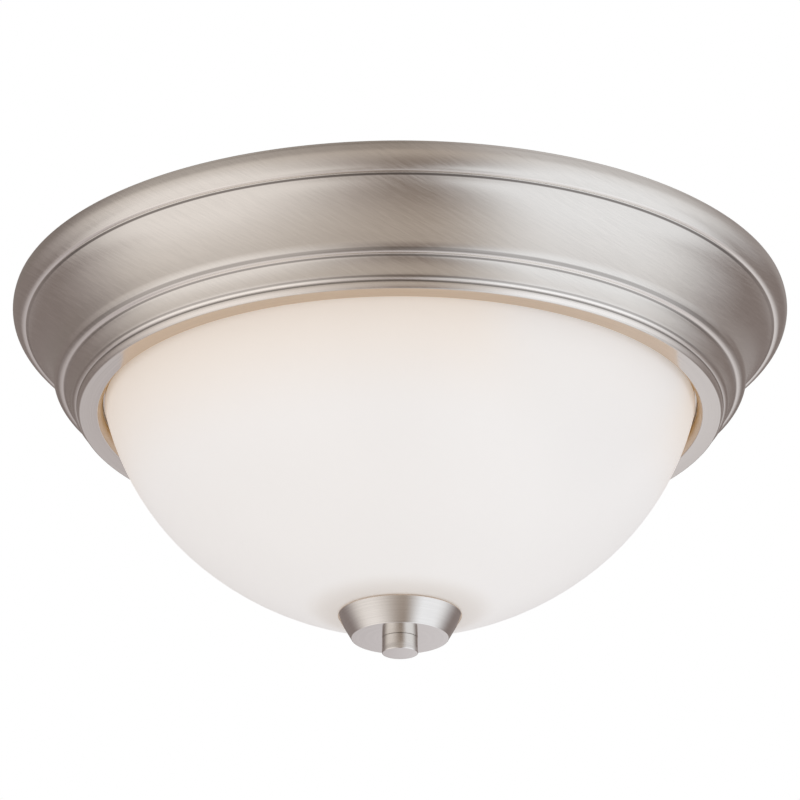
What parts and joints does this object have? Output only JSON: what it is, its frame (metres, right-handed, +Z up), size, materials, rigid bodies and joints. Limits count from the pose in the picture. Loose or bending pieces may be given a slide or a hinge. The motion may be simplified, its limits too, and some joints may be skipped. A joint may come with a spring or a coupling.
{
  "type": "flush mount ceiling light",
  "caption": "Round flush mount ceiling light: spun pan with a stepped cove moulding, opal glass bowl, and a conical finial cup and knob that draw the bowl up.",
  "frame": {"origin": "centre of the ceiling plane, on the axis of the pan, midway between the box screw slots", "axes": "+Z up, into the ceiling; +X along the crossbar and the lamp axes; the light hangs towards -Z"},
  "size_m": [0.3366, 0.3366, 0.1546],
  "materials": {
    "brushed_nickel": "warm brushed nickel plate with fine hairlines",
    "opal_glass": "opal glass, satin etched outside",
    "zinc_steel": "zinc plated steel",
    "green_steel": "green passivated steel",
    "black_nylon": "moulded nylon",
    "fibre_mat": "glass fibre mat",
    "porcelain": "white glaze",
    "shell_brass": "drawn brass",
    "frosted_glass": "frosted inside",
    "bulb_aluminium": "rolled thread",
    "black_glass": "pressed black glass",
    "solder": "tinned button",
    "grommet_rubber": "translucent soft rubber"
  },
  "bodies": {
    "canopy": {"canopy_pan": "brushed_nickel", "crossbar": "zinc_steel", "centre_rod": "zinc_steel", "rod_nuts": "zinc_steel", "tooth_washer": "zinc_steel", "ground_screw": "green_steel", "wire_bushing": "black_nylon", "insulation_pad": "fibre_mat", "bracket_rivets": "zinc_steel", "socket_bracket_front": "zinc_steel", "socket_bracket_rear": "zinc_steel", "socket_body_front": "porcelain", "socket_body_rear": "porcelain", "socket_shell_front": "shell_brass", "socket_shell_rear": "shell_brass", "socket_contact_front": "shell_brass", "socket_contact_rear": "shell_brass", "socket_screws_front": "zinc_steel", "socket_screws_rear": "zinc_steel"},
    "shade": {"glass_bowl": "opal_glass", "bowl_grommet": "grommet_rubber"},
    "finial": {"finial_cup": "brushed_nickel"},
    "knob": {"finial_knob": "brushed_nickel"},
    "bulb_tip_front": {"bulb_contact_front": "solder"},
    "bulb_front": {"bulb_glass_front": "frosted_glass", "bulb_cap_front": "bulb_aluminium", "bulb_insulator_front": "black_glass"},
    "bulb_tip_rear": {"bulb_contact_rear": "solder"},
    "bulb_rear": {"bulb_glass_rear": "frosted_glass", "bulb_cap_rear": "bulb_aluminium", "bulb_insulator_rear": "black_glass"}
  },
  "joints": [
    {"name": "shade_drop", "type": "slide", "parent": "canopy", "child": "shade", "axis": [0, 0, -1], "range_m": [0, 0.16]},
    {"name": "finial_back_off", "type": "slide", "parent": "shade", "child": "finial", "axis": [0, 0, -1], "range_m": [0, 0.00941]},
    {"name": "finial_turn", "type": "hinge", "parent": "finial", "child": "knob", "pos_m": [0, 0, -0.151], "axis": [0, 0, -1], "range_deg": [0, 3600]},
    {"name": "bulb_front_back_off", "type": "slide", "parent": "canopy", "child": "bulb_tip_front", "axis": [1, 0, 0], "range_m": [0, 0.02178]},
    {"name": "bulb_front_turn", "type": "hinge", "parent": "bulb_tip_front", "child": "bulb_front", "pos_m": [-0.07, -0.04, -0.05], "axis": [1, 0, 0], "range_deg": [0, 2160]},
    {"name": "bulb_rear_back_off", "type": "slide", "parent": "canopy", "child": "bulb_tip_rear", "axis": [-1, 0, 0], "range_m": [0, 0.02178]},
    {"name": "bulb_rear_turn", "type": "hinge", "parent": "bulb_tip_rear", "child": "bulb_rear", "pos_m": [0.07, 0.04, -0.05], "axis": [-1, 0, 0], "range_deg": [0, 2160]}
  ],
  "couplings": [
    {"joint": "finial_turn", "follows": "finial_back_off", "rad_per_m": 6678.9},
    {"joint": "bulb_front_turn", "follows": "bulb_front_back_off", "rad_per_m": 1730.9},
    {"joint": "bulb_rear_turn", "follows": "bulb_rear_back_off", "rad_per_m": 1730.9}
  ]
}
